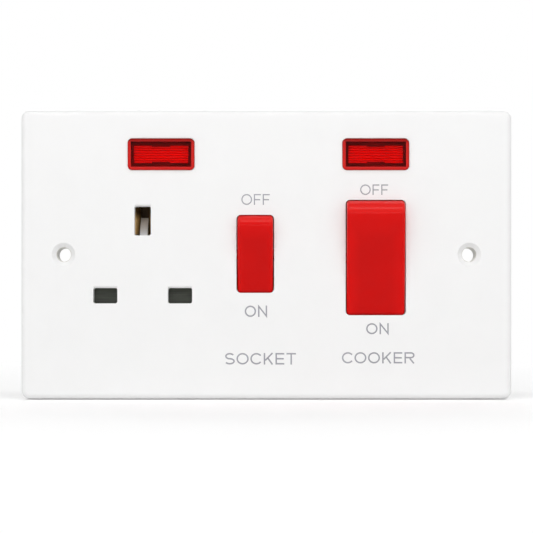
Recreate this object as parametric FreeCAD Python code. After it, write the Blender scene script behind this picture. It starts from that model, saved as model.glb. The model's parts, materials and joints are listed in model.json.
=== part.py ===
import FreeCAD
import Part
import math
import os

from FreeCAD import Vector

# Cooker control unit with a switched three-pin socket.
# Millimetres. X runs right seen from the front, Y runs into the wall, Z runs up.
# The origin is the middle of the plate on the wall plane. The front faces -Y.

# Plate
plate_width = 146.0
plate_height = 86.0
plate_depth = 9.0
plate_corner_radius = 2.4
plate_edge_radius = 1.8
face_thickness = 2.6
rim_wall = 2.4
rim_inner_radius = 1.0

# Wall fixing
fixing_pitch = 120.6
fixing_hole_radius = 2.1
fixing_sink_radius = 3.5
fixing_boss_radius = 4.6

# Three-pin socket
socket_x = -36.8
earth_z = 10.0
pin_pitch = 22.23
earth_slot_width = 4.9
earth_slot_height = 8.7
pin_slot_width = 7.2
pin_slot_height = 4.6
pin_slot_radius = 0.6
slot_lip = 0.5
pad_thickness = 1.7
pad_half_width = 18.0
pad_margin = 3.2

# Rockers
cooker_x = 32.5
cooker_z = -0.9
cooker_opening_width = 17.9
cooker_opening_height = 34.3
cooker_roll = 4.5
socket_rocker_x = -3.3
socket_rocker_z = 0.2
socket_opening_width = 11.2
socket_opening_height = 23.2
socket_roll = 3.5
rocker_throw = 15.0
rocker_setback = 4.4
rocker_gap = 0.3
rocker_sink = 0.2
rocker_wall = 1.8
rocker_skirt = 2.4
rocker_lower_roll = 1.2
rocker_crease = 14.0
rocker_side_round = 1.0
rocker_cavity_roll = 0.4
trunnion_radius = 1.5
trunnion_clearance = 0.06
lug_gap = 0.3
lug_thickness = 2.2
lug_half_height = 3.4
keeper_clearance = 0.1

# Plungers and their springs
plunger_radius = 1.6
plunger_clearance = 0.06
plunger_reach = 12.0
plunger_inner_end = 2.6
plunger_boss_wall = 1.0
plunger_boss_reach = 6.0
spring_seat = 2.4
spring_radius = 1.15
spring_wire_radius = 0.22
spring_turns = 5.0
spring_end_gap = 0.05

# Rocking contacts
contact_swing = 14.0
contact_width = 5.0
contact_thickness = 1.3
contact_upper_arm = 13.5
contact_lower_arm = 5.5
contact_bead_radius = 1.0
contact_bead_clearance = 0.05
contact_plunger_gap = 0.1
tip_arm = 11.5
tip_radius = 1.9
tip_height = 1.0
tip_gap = 0.1
tip_dome_radius = 3.0
tip_dome_height = 0.6
pole_offset = 4.3

# Terminals and straps
terminal_side_gap = 0.18
terminal_inner_end = 16.4
terminal_length = 9.0
terminal_end_wall = 1.2
terminal_bore_radius = 2.9
terminal_bore_wall = 1.1
terminal_screw_radius = 2.0
terminal_screw_clearance = 0.05
terminal_screw_head_radius = 3.2
terminal_screw_head_height = 1.6
terminal_screw_slot = 0.9
earth_terminal_x = 12.9
earth_terminal_width = 13.4
earth_bore_radius = 2.1
earth_bore_offset = 3.5
strap_thickness = 1.2
strap_width = 4.0
saddle_half_length = 2.4
saddle_drop = 0.45
line_strap_drop = 12.1
neutral_strap_drop = 7.3
neutral_strap_depth = 17.6

# Socket contacts
leaf_thickness = 0.8
leaf_width = 5.4
pin_leaf_front = 0.6
pin_leaf_grip = 1.8
pin_leaf_mouth = 3.0
pin_web_y = 11.0
earth_leaf_front = -3.6
earth_leaf_grip = 1.4
earth_leaf_mouth = 2.3
earth_leaf_height = 8.2
earth_web_y = 14.4
leaf_lead_in_share = 0.28
leaf_grip_share = 0.62

# Shutter
shutter_gap = 0.3
shutter_thickness = 1.8
shutter_travel = 6.0
shutter_bar_half = 16.2
shutter_bar_height = 6.0
shutter_stem_half = 3.0
shutter_stem_thickness = 1.5
shutter_ramp_half = 1.15
shutter_ramp_rise = 5.8
shutter_ramp_depth = 5.5
shutter_rail_width = 1.5
shutter_spring_length = 12.0
shutter_spring_radius = 1.3
shutter_spring_wire = 0.25
shutter_spring_turns = 7.0
shutter_spring_seat = 2.0
rest_post_offset = 5.0
rest_post_half = 1.0

# Neon indicators
neon_z = 29.8
socket_neon_x = -31.3
lens_width = 19.8
lens_height = 9.4
lens_corner_radius = 1.4
lens_edge_radius = 0.5
lens_stand = 0.6
lens_front_wall = 1.1
lens_wall = 0.85
lens_gap = 0.08
lens_flange_width = 1.0
lens_flange_thickness = 1.0
capsule_width = 16.2
capsule_height = 5.4
capsule_gap = 0.3
capsule_wall = 1.0
capsule_depth = 7.0
capsule_rib_count = 7
capsule_rib_depth = 0.3
capsule_notch_width = 5.3
capsule_notch_depth = 0.45
capsule_tab_half = 1.7
capsule_tab_reach = 14.8
stake_offset = 13.0
stake_radius = 0.9
stake_boss_radius = 1.7
stake_stand = 0.8
lamp_clearance = 0.15
lamp_length = 11.0
lamp_lead_radius = 0.3
lamp_lead_length = 1.4
resistor_radius = 1.1
resistor_length = 6.0
resistor_lead_length = 4.9
resistor_gap = 0.02

# Base
base_depth = 22.0
base_floor = 2.2
base_wall = 2.0
base_left = -54.0
base_end_clearance = 0.2
base_corner_radius = 1.6
base_edge_radius = 0.8
panel_depth = 0.7
panel_margin = 2.5
fin_thickness = 1.4
fin_height = 2.6
fin_front = 5.0
chamber_half_height = 16.0
partition_half = 1.0
partition_front = 1.0
wire_hole_margin = 0.4
screw_hole_margin = 0.4
slot_clearance = 0.4
ear_radius = 3.6
ear_thickness = 3.2
base_screw_radius = 1.35
base_screw_clearance = 0.05
base_screw_depth = 4.4
base_screw_head_radius = 2.6
base_screw_head_height = 1.7
base_screw_boss_radius = 3.2
base_screw_slot = 0.7

# How far a cutting shape runs past the face it opens
past = 1.0

# Values that follow from the sizes above
front_y = -plate_depth
inner_y = front_y + face_thickness
pivot_y = front_y + rocker_setback
tilt = rocker_throw / 2.0
contact_tilt = contact_swing / 2.0
pin_z = earth_z - pin_pitch
line_pin_x = socket_x + pin_pitch / 2.0
neutral_pin_x = socket_x - pin_pitch / 2.0
pad_y = inner_y + pad_thickness
floor_y = base_depth - base_floor
contact_y = pivot_y + plunger_reach + contact_plunger_gap + contact_thickness
swing_cos = math.cos(math.radians(contact_tilt))
swing_sin = math.sin(math.radians(contact_tilt))
tip_face_y = contact_y + tip_height * swing_cos + tip_arm * swing_sin
tip_face_rise = tip_arm * swing_cos - tip_height * swing_sin
fixed_tip_y = tip_face_y + tip_gap
tongue_y = fixed_tip_y + tip_height
tongue_rear_y = tongue_y + strap_thickness
link_rear_y = tongue_rear_y + strap_thickness
terminal_outer_end = terminal_inner_end + terminal_length
terminal_front_y = tongue_y - terminal_bore_radius - terminal_bore_wall
bore_y = terminal_front_y + terminal_bore_wall + terminal_bore_radius
screw_rise = terminal_inner_end + terminal_end_wall + (terminal_length - terminal_end_wall) / 2.0
base_top = cooker_z + terminal_outer_end + base_end_clearance + base_wall
base_bottom = cooker_z - terminal_outer_end - base_end_clearance - base_wall
cooker_lug_x = cooker_opening_width / 2.0 + lug_gap
socket_lug_x = socket_opening_width / 2.0 + lug_gap
base_right = cooker_x + cooker_lug_x + lug_thickness
terminal_width = cooker_lug_x - partition_half - 2.0 * terminal_side_gap
terminal_offset = partition_half + terminal_side_gap + terminal_width / 2.0
switch_left = socket_rocker_x - socket_lug_x - lug_thickness
switch_right = socket_rocker_x + socket_lug_x + lug_thickness
line_x = cooker_x - pole_offset
neutral_x = cooker_x + pole_offset
line_terminal_x = cooker_x - terminal_offset
neutral_terminal_x = cooker_x + terminal_offset
line_strap_z = cooker_z - line_strap_drop
neutral_strap_z = cooker_z - neutral_strap_drop
neutral_strap_rear_y = neutral_strap_depth + strap_thickness
shutter_y = pad_y + shutter_gap
shutter_rear_y = shutter_y + shutter_thickness
shutter_top_z = pin_z + shutter_bar_height / 2.0
shutter_bottom_z = pin_z - shutter_bar_height / 2.0
earth_foot_z = earth_z - earth_slot_height / 2.0
earth_leaf_z = earth_foot_z + lug_gap + rocker_gap
half_strap = strap_width / 2.0
switch_top = socket_rocker_z + chamber_half_height
switch_foot = socket_rocker_z - chamber_half_height
earth_strap_z = switch_top + base_wall + slot_clearance + half_strap
spring_axis_y = shutter_y + shutter_spring_radius + shutter_spring_wire
spring_seat_z = shutter_bottom_z - shutter_spring_length
capsule_front_y = front_y - lens_stand + lens_front_wall + capsule_gap
capsule_rear_y = capsule_front_y + capsule_depth
tab_y = inner_y + lens_flange_thickness
tab_rear_y = tab_y + capsule_wall
ear_reach = base_screw_head_radius + slot_clearance
ear_places = [
    (base_left + ear_radius, base_top + ear_reach),
    (socket_rocker_x + lug_thickness + socket_lug_x, base_top + ear_reach),
    (base_left + ear_radius, base_bottom - ear_reach),
    (socket_rocker_x + lug_thickness + socket_lug_x, base_bottom - ear_reach),
    (base_right + ear_reach, cooker_z + chamber_half_height),
    (base_right + ear_reach, cooker_z - chamber_half_height),
]

terminal_places = [
    (line_terminal_x, cooker_z - screw_rise, terminal_bore_radius, -1.0),
    (neutral_terminal_x, cooker_z - screw_rise, terminal_bore_radius, -1.0),
    (line_terminal_x, cooker_z + screw_rise, terminal_bore_radius, 1.0),
    (neutral_terminal_x, cooker_z + screw_rise, terminal_bore_radius, 1.0),
    (earth_terminal_x - earth_bore_offset, cooker_z + screw_rise, earth_bore_radius, 1.0),
    (earth_terminal_x + earth_bore_offset, cooker_z + screw_rise, earth_bore_radius, 1.0),
]
rear_panels = [
    (base_left + panel_margin, socket_x - panel_margin / 2.0),
    (socket_x + panel_margin / 2.0, socket_rocker_x - panel_margin / 2.0),
    (socket_rocker_x + panel_margin / 2.0, earth_terminal_x - panel_margin / 2.0),
    (earth_terminal_x + panel_margin / 2.0, cooker_x - panel_margin / 2.0),
    (cooker_x + panel_margin / 2.0, base_right - panel_margin),
]

AXIS_X = Vector(1, 0, 0)
AXIS_Y = Vector(0, 1, 0)
AXIS_Z = Vector(0, 0, 1)
ORIGIN = Vector(0, 0, 0)


def box(x0, x1, y0, y1, z0, z1):
    return Part.makeBox(x1 - x0, y1 - y0, z1 - z0, Vector(x0, y0, z0))


def centred_box(x, half_x, y0, y1, z, half_z):
    return box(x - half_x, x + half_x, y0, y1, z - half_z, z + half_z)


def rod_y(x, y0, y1, z, radius):
    return Part.makeCylinder(radius, y1 - y0, Vector(x, y0, z), AXIS_Y)


def rod_x(x0, x1, y, z, radius):
    return Part.makeCylinder(radius, x1 - x0, Vector(x0, y, z), AXIS_X)


def rod_z(x, y, z0, z1, radius):
    return Part.makeCylinder(radius, z1 - z0, Vector(x, y, z0), AXIS_Z)


def rounded_block(x, width, y0, y1, z, height, radius):
    block = centred_box(x, width / 2.0, y0, y1, z, height / 2.0)
    edges = [e for e in block.Edges if abs(e.tangentAt(e.FirstParameter).y) > 0.99]
    return block.makeFillet(radius, edges)


def round_front(shape, y, radius):
    edges = [e for e in shape.Edges if all(abs(v.Point.y - y) < 1e-6 for v in e.Vertexes)]
    return shape.makeFillet(radius, edges)


def prism_x(points, x0, x1):
    loop = [Vector(x0, y, z) for y, z in points]
    return Part.Face(Part.makePolygon(loop + loop[:1])).extrude(Vector(x1 - x0, 0, 0))


def prism_z(points, z0, z1):
    loop = [Vector(x, y, z0) for x, y in points]
    return Part.Face(Part.makePolygon(loop + loop[:1])).extrude(Vector(0, 0, z1 - z0))


def join(shapes):
    whole = shapes[0].fuse(shapes[1:])
    return whole.removeSplitter()


def save(name, shape):
    shape.exportStep(os.path.join("parts", name + ".step"))


def save_group(name, shapes):
    save(name, Part.makeCompound(shapes))


def coil(radius, wire_radius, turns, length):
    """A coil spring along +Z from the origin, its wire inside the given length."""
    half_turns = int(round(2.0 * turns))
    rise = (length - 2.0 * wire_radius) / half_turns
    bends = []
    for index in range(half_turns):
        side = 1.0 - 2.0 * (index % 2)
        start = Vector(side * radius, 0.0, wire_radius + index * rise)
        end = Vector(-side * radius, 0.0, start.z + rise)
        middle = (start + end) * 0.5
        ahead = Vector(0.0, side, 0.0)
        section = Part.Face(Part.Wire([Part.makeCircle(wire_radius, start, AXIS_Y)]))
        bends.append(section.revolve(middle, (start - middle).cross(ahead), 180.0))
    return bends[0].fuse(bends[1:])


# Rockers

def rocker_radius(opening_height):
    return math.hypot(opening_height / 2.0, rocker_setback) - rocker_gap


def rocker_face(radius):
    """Distance from the pivot to the face, so that the pressed end sits just below the plate."""
    angle = math.acos((rocker_setback - rocker_sink) / radius) - math.radians(tilt)
    return radius * math.cos(angle)


def rocker_solid(width, radius, face, roll, lower_roll, rear):
    """Rocker block about its pivot: round ends about the pivot, a roll and crease at the top."""

    def spot(out, up):
        return Vector(-width / 2.0, -out, up)

    def on_end(angle, side):
        return spot(radius * math.cos(angle), side * radius * math.sin(angle))

    def end_edges(roll_radius, crease, side):
        out = face - roll_radius * math.cos(crease)
        reach = radius - roll_radius
        up = math.sqrt(reach * reach - out * out)
        turn = math.atan2(up, out)
        half = (crease + turn) / 2.0
        start = spot(face, side * (up + roll_radius * math.sin(crease)))
        middle = spot(out + roll_radius * math.cos(half), side * (up + roll_radius * math.sin(half)))
        low_turn = math.pi / 2.0 + math.asin(rear / radius)
        roll_arc = Part.Arc(start, middle, on_end(turn, side))
        end_arc = Part.Arc(on_end(turn, side), on_end((turn + low_turn) / 2.0, side), on_end(low_turn, side))
        return roll_arc.toShape(), end_arc.toShape(), start, on_end(low_turn, side)

    top_roll, top_end, top_face, top_low = end_edges(roll, math.radians(rocker_crease), 1.0)
    foot_roll, foot_end, foot_face, foot_low = end_edges(lower_roll, 0.0, -1.0)
    front = Part.makeLine(foot_face, top_face)
    back = Part.makeLine(top_low, foot_low)
    outline = Part.Wire(Part.__sortEdges__([front, top_roll, top_end, back, foot_end, foot_roll]))
    return Part.Face(outline).extrude(Vector(width, 0, 0))


def opening_solid(width, opening_height, corner):
    """The plate opening about the pivot: end walls round about the pivot, with round corners."""
    radius = math.hypot(opening_height / 2.0, rocker_setback)
    depth = rocker_setback + face_thickness
    drum = rod_x(-width / 2.0, width / 2.0, 0.0, 0.0, radius)
    low = rocker_setback - 2.0 * face_thickness
    slab = box(-width, width, -depth, -low, -2.0 * radius, 2.0 * radius)
    cutter = drum.common(slab)
    edges = []
    for edge in cutter.Edges:
        ends = [v.Point for v in edge.Vertexes]
        if len(ends) == 2 and abs(ends[0].x - ends[1].x) < 1e-6 and abs(ends[0].y - ends[1].y) > 1.0:
            edges.append(edge)
    return cutter.makeFillet(corner, edges)


def rocker(opening_width, opening_height, roll, poles):
    width = opening_width - 2.0 * rocker_gap
    radius = rocker_radius(opening_height)
    face = rocker_face(radius)
    solid = rocker_solid(width, radius, face, roll, rocker_lower_roll, rocker_skirt)
    chain = []
    for edge in solid.Edges:
        ends = [v.Point for v in edge.Vertexes]
        beside = all(abs(abs(p.x) - width / 2.0) < 1e-6 for p in ends)
        same_side = abs(ends[0].x - ends[-1].x) < 1e-6
        at_back = all(abs(p.y - rocker_skirt) < 1e-6 for p in ends)
        if beside and same_side and not at_back:
            chain.append(edge)
    solid = solid.makeFillet(rocker_side_round, chain)
    cavity = rocker_solid(
        width - 2.0 * rocker_wall,
        radius - rocker_wall,
        face - rocker_wall,
        roll - rocker_wall,
        rocker_cavity_roll,
        rocker_skirt + rocker_wall,
    )
    solid = solid.cut(cavity)
    boss_radius = plunger_radius + plunger_clearance + plunger_boss_wall
    ears = width / 2.0 + rocker_gap + lug_gap + lug_thickness
    bosses = [rod_y(x, rocker_wall - face - rocker_gap, plunger_boss_reach, 0.0, boss_radius) for x in poles]
    pins = [
        rod_x(-ears, -width / 2.0 + rocker_wall, 0.0, 0.0, trunnion_radius),
        rod_x(width / 2.0 - rocker_wall, ears, 0.0, 0.0, trunnion_radius),
    ]
    solid = join([solid] + bosses + pins)
    for x in poles:
        bore = rod_y(x, -spring_seat, plunger_boss_reach + past, 0.0, plunger_radius + plunger_clearance)
        solid = solid.cut(bore)
    return solid


def place_on_rocker(shape, x, z):
    shape.rotate(ORIGIN, AXIS_X, tilt)
    shape.translate(Vector(x, pivot_y, z))
    return shape


def plunger(offset):
    stem = rod_y(offset, plunger_inner_end, plunger_reach - plunger_radius, 0.0, plunger_radius)
    nose = Part.makeSphere(plunger_radius, Vector(offset, plunger_reach - plunger_radius, 0.0))
    return join([stem, nose])


def plunger_spring(offset):
    length = plunger_inner_end + spring_seat - 2.0 * spring_end_gap
    spring = coil(spring_radius, spring_wire_radius, spring_turns, length)
    spring.rotate(ORIGIN, AXIS_X, -90.0)
    spring.translate(Vector(offset, spring_end_gap - spring_seat, 0.0))
    return spring


def place_on_contact(shape, x, z):
    shape.rotate(ORIGIN, AXIS_X, -contact_tilt)
    shape.translate(Vector(x, contact_y, z))
    return shape


def moving_contact():
    half = contact_width / 2.0
    bar = box(-half, half, -contact_thickness, 0.0, -contact_lower_arm, contact_upper_arm)
    bead = rod_x(-half, half, 0.0, 0.0, contact_bead_radius)
    return join([bar, bead])


def moving_tip():
    return rod_y(0.0, 0.0, tip_height, tip_arm, tip_radius)


def fixed_tip(x, z):
    middle = Vector(x, fixed_tip_y + tip_dome_radius, z + tip_face_rise)
    ball = Part.makeSphere(tip_dome_radius, middle)
    dome_edge = fixed_tip_y + tip_dome_height
    reach = 2.0 * tip_dome_radius
    cap = ball.common(centred_box(x, reach, fixed_tip_y, dome_edge, z + tip_face_rise, reach))
    edge_radius = math.sqrt(tip_dome_height * (2.0 * tip_dome_radius - tip_dome_height))
    foot = rod_y(x, dome_edge, tongue_y, z + tip_face_rise, edge_radius)
    return join([cap, foot])


# Live parts

def saddle(x, z, rear_y):
    return centred_box(x, contact_width / 2.0, contact_y + saddle_drop, rear_y, z, saddle_half_length)


def saddle_groove(x, z):
    reach = contact_width
    return rod_x(x - reach, x + reach, contact_y, z, contact_bead_radius + contact_bead_clearance)


def fixed_tongue_span():
    return tip_face_rise - tip_radius - tip_gap


def terminal_block(x, width, bores, bore_radius, side):
    near = cooker_z + side * terminal_inner_end
    far = cooker_z + side * terminal_outer_end
    block = box(x - width / 2.0, x + width / 2.0, terminal_front_y, floor_y, min(near, far), max(near, far))
    stop = near + side * terminal_end_wall
    for offset in bores:
        bore = rod_z(x + offset, bore_y, min(stop, far), max(stop, far), bore_radius)
        thread = rod_y(
            x + offset,
            bore_y,
            floor_y,
            cooker_z + side * screw_rise,
            terminal_screw_radius + terminal_screw_clearance,
        )
        block = block.cut(bore).cut(thread)
    return block


def in_terminal(block_x, pole_x):
    block = terminal_block(block_x, terminal_width, [0.0], terminal_bore_radius, -1.0)
    tongue = box(
        pole_x - contact_width / 2.0,
        pole_x + contact_width / 2.0,
        tongue_y,
        tongue_rear_y,
        cooker_z - terminal_inner_end,
        cooker_z + saddle_half_length,
    )
    whole = join([block, tongue, saddle(pole_x, cooker_z, tongue_rear_y)])
    return whole.cut(saddle_groove(pole_x, cooker_z))


def out_terminal(block_x, pole_x):
    block = terminal_block(block_x, terminal_width, [0.0], terminal_bore_radius, 1.0)
    tongue = box(
        pole_x - contact_width / 2.0,
        pole_x + contact_width / 2.0,
        tongue_y,
        tongue_rear_y,
        cooker_z + fixed_tongue_span(),
        cooker_z + terminal_inner_end,
    )
    return join([block, tongue])


def terminal_screw(x, z, bore_radius):
    tip_y = bore_y + bore_radius
    head_y = floor_y + terminal_screw_clearance
    head_rear_y = head_y + terminal_screw_head_height
    shank = rod_y(x, tip_y, head_y, z, terminal_screw_radius)
    head = rod_y(x, head_y, head_rear_y, z, terminal_screw_head_radius)
    reach = 2.0 * terminal_screw_head_radius
    slot_y = head_rear_y - terminal_screw_head_height / 2.0
    slot = centred_box(x, reach, slot_y, head_rear_y + past, z, terminal_screw_slot / 2.0)
    return join([shank, head]).cut(slot)


def base_screw(x, z):
    head_rear_y = ear_thickness + base_screw_head_height
    shank = rod_y(x, -base_screw_depth, ear_thickness, z, base_screw_radius)
    head = rod_y(x, ear_thickness, head_rear_y, z, base_screw_head_radius)
    reach = 2.0 * base_screw_head_radius
    slot_y = head_rear_y - base_screw_head_height / 2.0
    cross = centred_box(x, base_screw_head_radius / 2.0, slot_y, head_rear_y + past, z, base_screw_slot / 2.0)
    tall = centred_box(x, base_screw_slot / 2.0, slot_y, head_rear_y + past, z, base_screw_head_radius / 2.0)
    return join([shank, head]).cut(cross).cut(tall)


def clip_outline(front, mouth, grip, web):
    """Fork outline as (along, across): two sprung leaves, flared at the mouth, joined by a web."""
    length = web - front
    inner = [
        (front, mouth),
        (front + leaf_lead_in_share * length, grip),
        (front + leaf_grip_share * length, grip),
        (web, (grip + mouth) / 2.0),
    ]
    outer = [(along, across + leaf_thickness) for along, across in inner]
    outer[-1] = (web + leaf_thickness, outer[-1][1])
    upper = inner[::-1] + outer
    lower = [(along, -across) for along, across in upper[::-1]]
    return upper + lower


def pin_clip(x):
    outline = clip_outline(pin_leaf_front, pin_leaf_mouth, pin_leaf_grip, pin_web_y)
    points = [(along, pin_z + across) for along, across in outline]
    return prism_x(points, x - leaf_width / 2.0, x + leaf_width / 2.0)


pin_web_rear_y = pin_web_y + leaf_thickness
pin_web_half = (pin_leaf_grip + pin_leaf_mouth) / 2.0 + leaf_thickness
earth_web_rear_y = earth_web_y + leaf_thickness
earth_web_half = (earth_leaf_grip + earth_leaf_mouth) / 2.0 + leaf_thickness
half_contact = contact_width / 2.0
half_leaf = leaf_width / 2.0
riser_x = neutral_x - half_contact
earth_terminal_left = earth_terminal_x - earth_terminal_width / 2.0
fixed_tongue_z = socket_rocker_z + fixed_tongue_span()
socket_tip_z = socket_rocker_z + tip_face_rise
socket_tip_top = socket_tip_z + tip_radius
line_drop_x = line_pin_x + half_leaf - strap_width


def socket_line_contact():
    pad = box(
        line_pin_x - half_leaf,
        line_pin_x + half_leaf,
        pin_web_rear_y,
        tongue_rear_y,
        pin_z - pin_web_half,
        pin_z + pin_web_half,
    )
    drop = box(line_drop_x, line_drop_x + strap_width, tongue_y, tongue_rear_y, pin_z, socket_tip_top)
    run = box(
        line_drop_x,
        socket_rocker_x + half_contact,
        tongue_y,
        tongue_rear_y,
        fixed_tongue_z,
        socket_tip_top,
    )
    return join([pin_clip(line_pin_x), pad, drop, run])


def socket_neutral_contact():
    tail = box(
        neutral_pin_x - half_leaf,
        neutral_pin_x + half_leaf,
        pin_web_y,
        neutral_strap_depth,
        pin_z + pin_web_half - leaf_thickness,
        pin_z + pin_web_half,
    )
    foot = box(
        neutral_pin_x - half_leaf,
        neutral_pin_x + half_leaf,
        neutral_strap_depth - leaf_thickness,
        neutral_strap_depth,
        pin_z + pin_web_half - leaf_thickness,
        neutral_strap_z + half_strap,
    )
    return join([pin_clip(neutral_pin_x), tail, foot])


def socket_earth_contact():
    outline = clip_outline(earth_leaf_front, earth_leaf_mouth, earth_leaf_grip, earth_web_y)
    points = [(socket_x + across, along) for along, across in outline]
    clip = prism_z(points, earth_leaf_z, earth_leaf_z + earth_leaf_height)
    riser = box(
        socket_x - earth_web_half,
        socket_x + earth_web_half,
        earth_web_y,
        earth_web_rear_y,
        earth_leaf_z,
        earth_strap_z + half_strap,
    )
    run = box(
        socket_x,
        earth_terminal_left,
        earth_web_y,
        earth_web_rear_y,
        earth_strap_z - half_strap,
        earth_strap_z + half_strap,
    )
    flange = box(
        earth_terminal_left - leaf_thickness,
        earth_terminal_left,
        terminal_front_y,
        earth_web_rear_y,
        earth_strap_z - half_strap,
        earth_strap_z + half_strap,
    )
    return join([clip, riser, run, flange])


def line_link():
    strap = box(
        socket_rocker_x - half_contact,
        line_x + half_contact,
        tongue_rear_y,
        link_rear_y,
        line_strap_z - half_strap,
        line_strap_z + half_strap,
    )
    rise = box(
        socket_rocker_x - half_contact,
        socket_rocker_x + half_contact,
        tongue_rear_y,
        link_rear_y,
        line_strap_z - half_strap,
        socket_rocker_z + saddle_half_length,
    )
    seat = saddle(socket_rocker_x, socket_rocker_z, link_rear_y)
    return join([strap, rise, seat]).cut(saddle_groove(socket_rocker_x, socket_rocker_z))


def neutral_link():
    low = neutral_strap_z - half_strap
    high = neutral_strap_z + half_strap
    pad = box(riser_x, neutral_x + half_contact, tongue_rear_y, link_rear_y, low, high)
    riser = box(riser_x, riser_x + strap_thickness, tongue_rear_y, neutral_strap_rear_y, low, high)
    run = box(
        neutral_pin_x - half_leaf,
        riser_x + strap_thickness,
        neutral_strap_depth,
        neutral_strap_rear_y,
        low,
        high,
    )
    return join([pad, riser, run])


# Neon indicators

def neon_flange(x, y0, y1):
    return rounded_block(
        x,
        lens_width + 2.0 * lens_flange_width,
        y0,
        y1,
        neon_z,
        lens_height + 2.0 * lens_flange_width,
        lens_corner_radius,
    )


def lens(x):
    body = rounded_block(
        x,
        lens_width,
        front_y - lens_stand,
        tab_y,
        neon_z,
        lens_height,
        lens_corner_radius,
    )
    body = round_front(body, front_y - lens_stand, lens_edge_radius)
    hollow = rounded_block(
        x,
        lens_width - 2.0 * lens_wall,
        front_y - lens_stand + lens_front_wall,
        tab_y + past,
        neon_z,
        lens_height - 2.0 * lens_wall,
        lens_corner_radius / 2.0,
    )
    return join([body, neon_flange(x, inner_y, tab_y)]).cut(hollow)


def capsule(x):
    half_w = capsule_width / 2.0
    half_h = capsule_height / 2.0
    pitch = capsule_height / capsule_rib_count
    outline = [(capsule_rear_y, neon_z - half_h)]
    for index in range(capsule_rib_count):
        low = neon_z - half_h + index * pitch
        outline.append((capsule_front_y + capsule_rib_depth, low))
        outline.append((capsule_front_y, low + pitch / 2.0))
    outline.append((capsule_front_y + capsule_rib_depth, neon_z + half_h))
    outline.append((capsule_rear_y, neon_z + half_h))
    body = prism_x(outline, x - half_w, x + half_w)
    for side in (-1.0, 1.0):
        edge = neon_z + side * half_h
        body = body.cut(
            centred_box(
                x,
                capsule_notch_width / 2.0,
                capsule_front_y - past,
                inner_y,
                edge,
                capsule_notch_depth,
            )
        )
    tabs = centred_box(x, capsule_tab_reach, tab_y, tab_rear_y, neon_z, capsule_tab_half)
    body = join([body, tabs, neon_flange(x, tab_y, tab_rear_y)])
    hollow_front = capsule_front_y + capsule_rib_depth + capsule_wall
    body = body.cut(
        centred_box(
            x,
            half_w - capsule_wall,
            hollow_front,
            capsule_rear_y + past,
            neon_z,
            half_h - capsule_wall,
        )
    )
    for side in (-1.0, 1.0):
        body = body.cut(rod_y(x + side * stake_offset, tab_y, tab_rear_y, neon_z, stake_radius + lens_gap))
    return body


lamp_radius = capsule_height / 2.0 - capsule_wall - lamp_clearance
lamp_y = capsule_front_y + capsule_rib_depth + capsule_wall + lamp_clearance + lamp_radius
resistor_y = capsule_rear_y + lamp_lead_radius + resistor_gap


def lamp(x):
    tube = rod_x(x - lamp_length / 2.0, x + lamp_length / 2.0 - lamp_radius, lamp_y, neon_z, lamp_radius)
    nose = Part.makeSphere(lamp_radius, Vector(x + lamp_length / 2.0 - lamp_radius, lamp_y, neon_z))
    leads = []
    for side in (-1.0, 1.0):
        leads.append(
            rod_x(
                x - lamp_length / 2.0 - lamp_lead_length,
                x - lamp_length / 2.0 + lamp_radius,
                lamp_y,
                neon_z + side * lamp_radius / 2.0,
                lamp_lead_radius,
            )
        )
    return join([tube, nose] + leads)


def resistor(x):
    half = resistor_length / 2.0
    lead_end = half + resistor_lead_length
    body = rod_x(x - half, x + half, resistor_y, neon_z, resistor_radius)
    edges = [e for e in body.Edges if len(e.Vertexes) == 1]
    body = body.makeFillet(resistor_radius / 3.0, edges)
    lead = rod_x(x - lead_end, x + lead_end, resistor_y, neon_z, lamp_lead_radius)
    return join([body, lead])


# Shutter

def shutter_slide():
    stem = box(
        socket_x - shutter_stem_half,
        socket_x + shutter_stem_half,
        shutter_rear_y,
        shutter_rear_y + shutter_stem_thickness,
        shutter_bottom_z,
        earth_foot_z,
    )
    ramp_rear = shutter_y + shutter_ramp_depth
    ramp = prism_x(
        [
            (shutter_y, earth_foot_z - shutter_ramp_half),
            (shutter_y, earth_foot_z),
            (ramp_rear, earth_foot_z + shutter_ramp_rise),
            (ramp_rear, earth_foot_z - shutter_ramp_half),
        ],
        socket_x - shutter_ramp_half,
        socket_x + shutter_ramp_half,
    )
    return join([stem, ramp])


def shutter_blade():
    return centred_box(
        socket_x,
        shutter_bar_half,
        shutter_y,
        shutter_rear_y,
        pin_z,
        shutter_bar_height / 2.0,
    )


def shutter_spring():
    spring = coil(
        shutter_spring_radius,
        shutter_spring_wire,
        shutter_spring_turns,
        shutter_spring_length - 2.0 * spring_end_gap,
    )
    spring.translate(Vector(socket_x, spring_axis_y, spring_seat_z + spring_end_gap))
    return spring


# Plate

def bearing(x, z, lug_x):
    """Two lugs with slots that are open to the rear, for the trunnions of one rocker."""
    slot_radius = trunnion_radius + trunnion_clearance
    lugs = []
    for side in (-1.0, 1.0):
        middle = x + side * (lug_x + lug_thickness / 2.0)
        lug = centred_box(middle, lug_thickness / 2.0, inner_y - rocker_gap, 0.0, z, lug_half_height)
        seat = rod_x(middle - lug_thickness, middle + lug_thickness, pivot_y, z, slot_radius)
        way = centred_box(middle, lug_thickness, pivot_y, past, z, slot_radius)
        lugs.append(lug.cut(seat).cut(way))
    return lugs


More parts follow.
